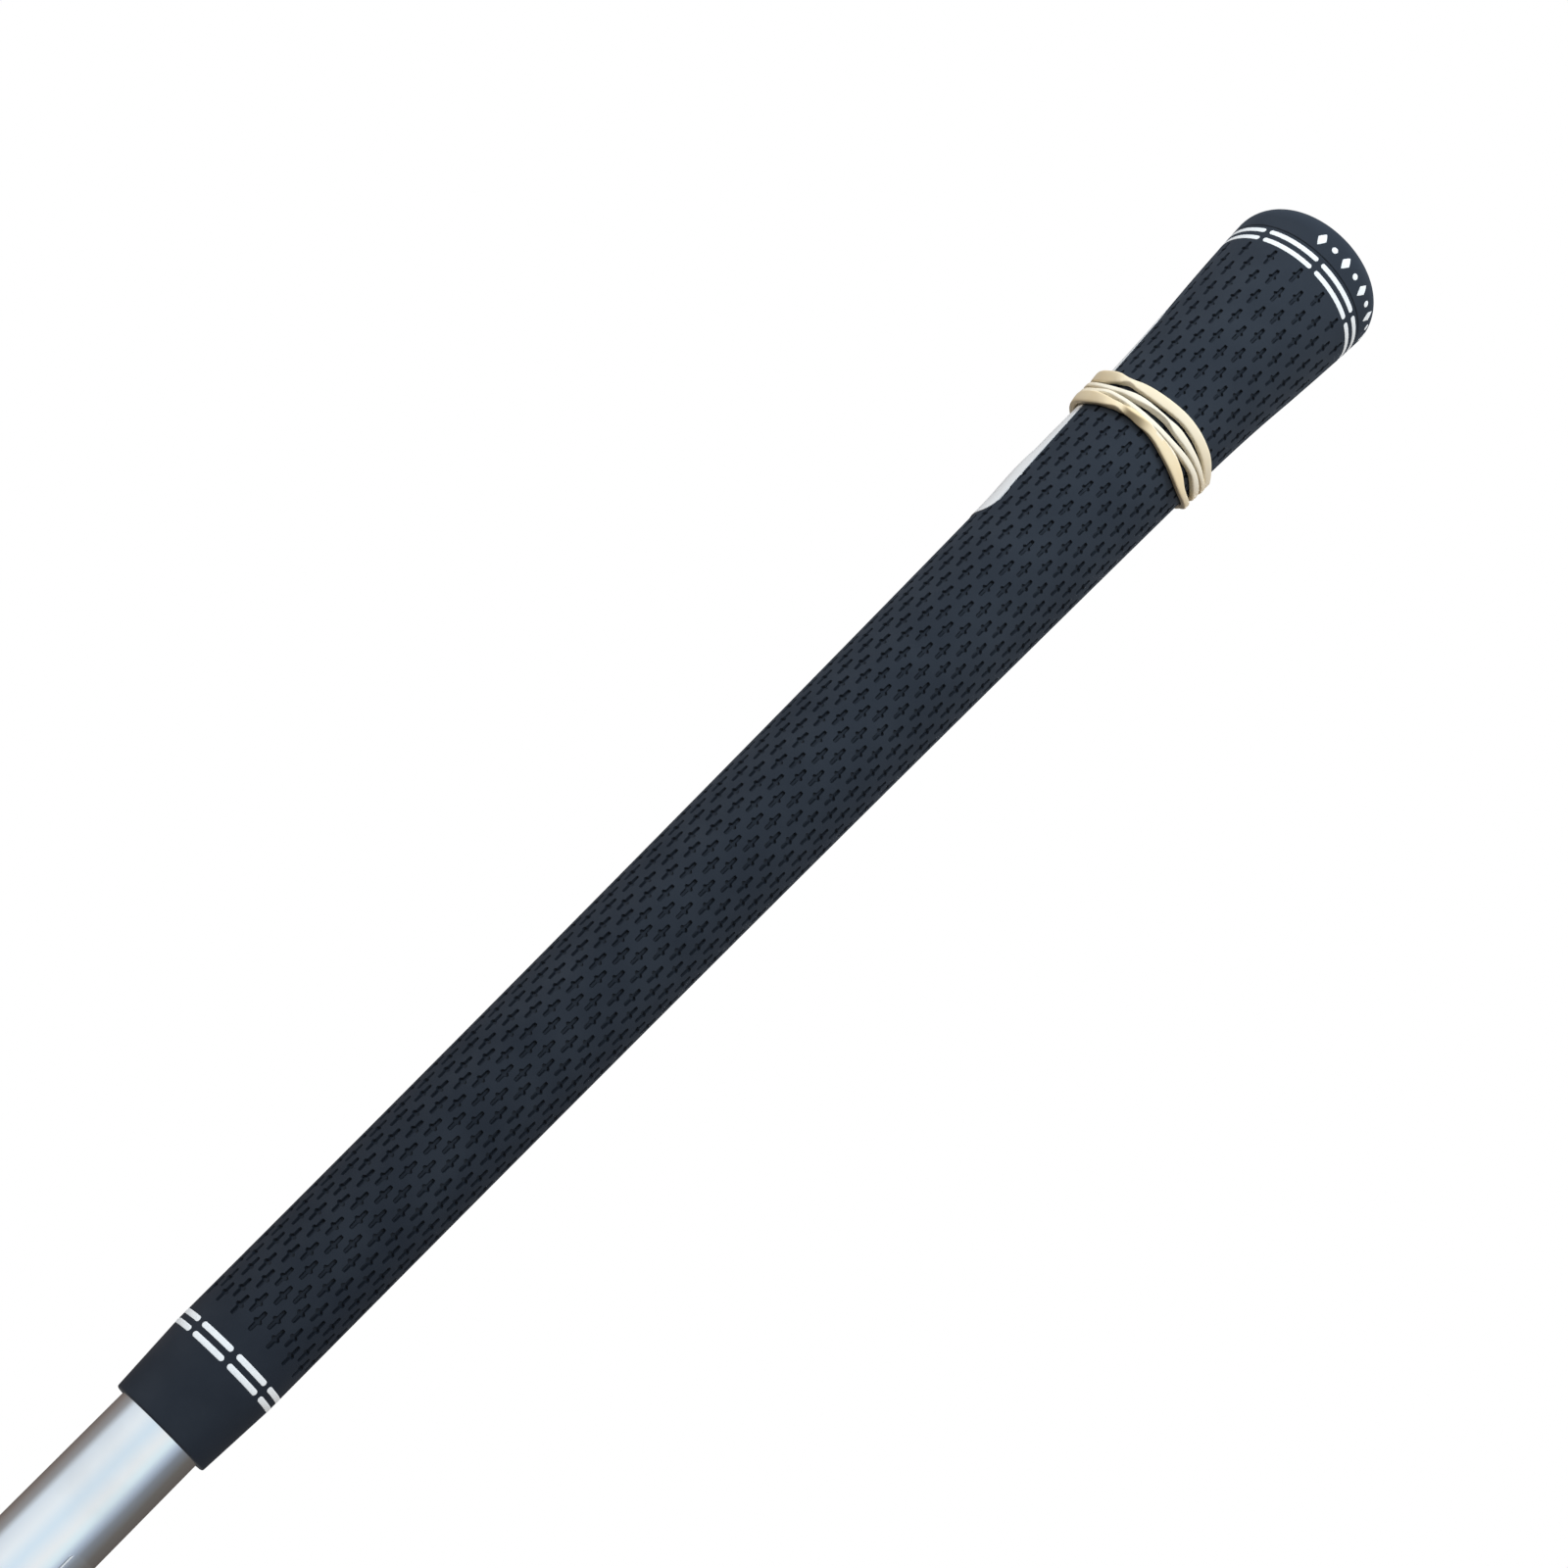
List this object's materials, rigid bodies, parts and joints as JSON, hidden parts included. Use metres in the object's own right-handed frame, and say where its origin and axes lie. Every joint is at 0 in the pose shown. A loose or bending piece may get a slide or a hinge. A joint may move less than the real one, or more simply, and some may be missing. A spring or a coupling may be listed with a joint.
{
  "type": "golf grip",
  "caption": "Tapered rubber golf grip with cross-shaped recesses, painted rings and a vented butt cap, taped on a steel shaft stub, with latex bands holding a paper slip.",
  "frame": {"origin": "on the shaft's axis, at the cut lower end of the shaft stub", "axes": "+Z along the shaft's axis towards the butt cap; -Y is the face the player sees; +X is to that face's right"},
  "size_m": [0.028, 0.028, 0.3268],
  "materials": {
    "shaft_chrome": "bright chrome plate on steel",
    "clear_film": "clear gloss film",
    "tape": "paper-backed adhesive tape",
    "sleeve_rubber": "matte moulded rubber",
    "cap_rubber": "matte moulded rubber, harder and smoother",
    "white_paint": "satin white paint fill",
    "latex": "natural latex, slightly waxy",
    "slip_paper": "white paper, folded"
  },
  "bodies": {
    "root": {"shaft_tube": "shaft_chrome", "shaft_film": "clear_film", "grip_tape": "tape", "grip_sleeve": "sleeve_rubber", "butt_cap": "cap_rubber", "mouth_ring_paint_lower": "white_paint", "mouth_ring_paint_upper": "white_paint", "butt_ring_paint_lower": "white_paint", "butt_ring_paint_upper": "white_paint", "cap_mark_paint": "white_paint", "rubber_band_1": "latex", "rubber_band_2": "latex", "label_slip": "slip_paper"}
  },
  "joints": []
}
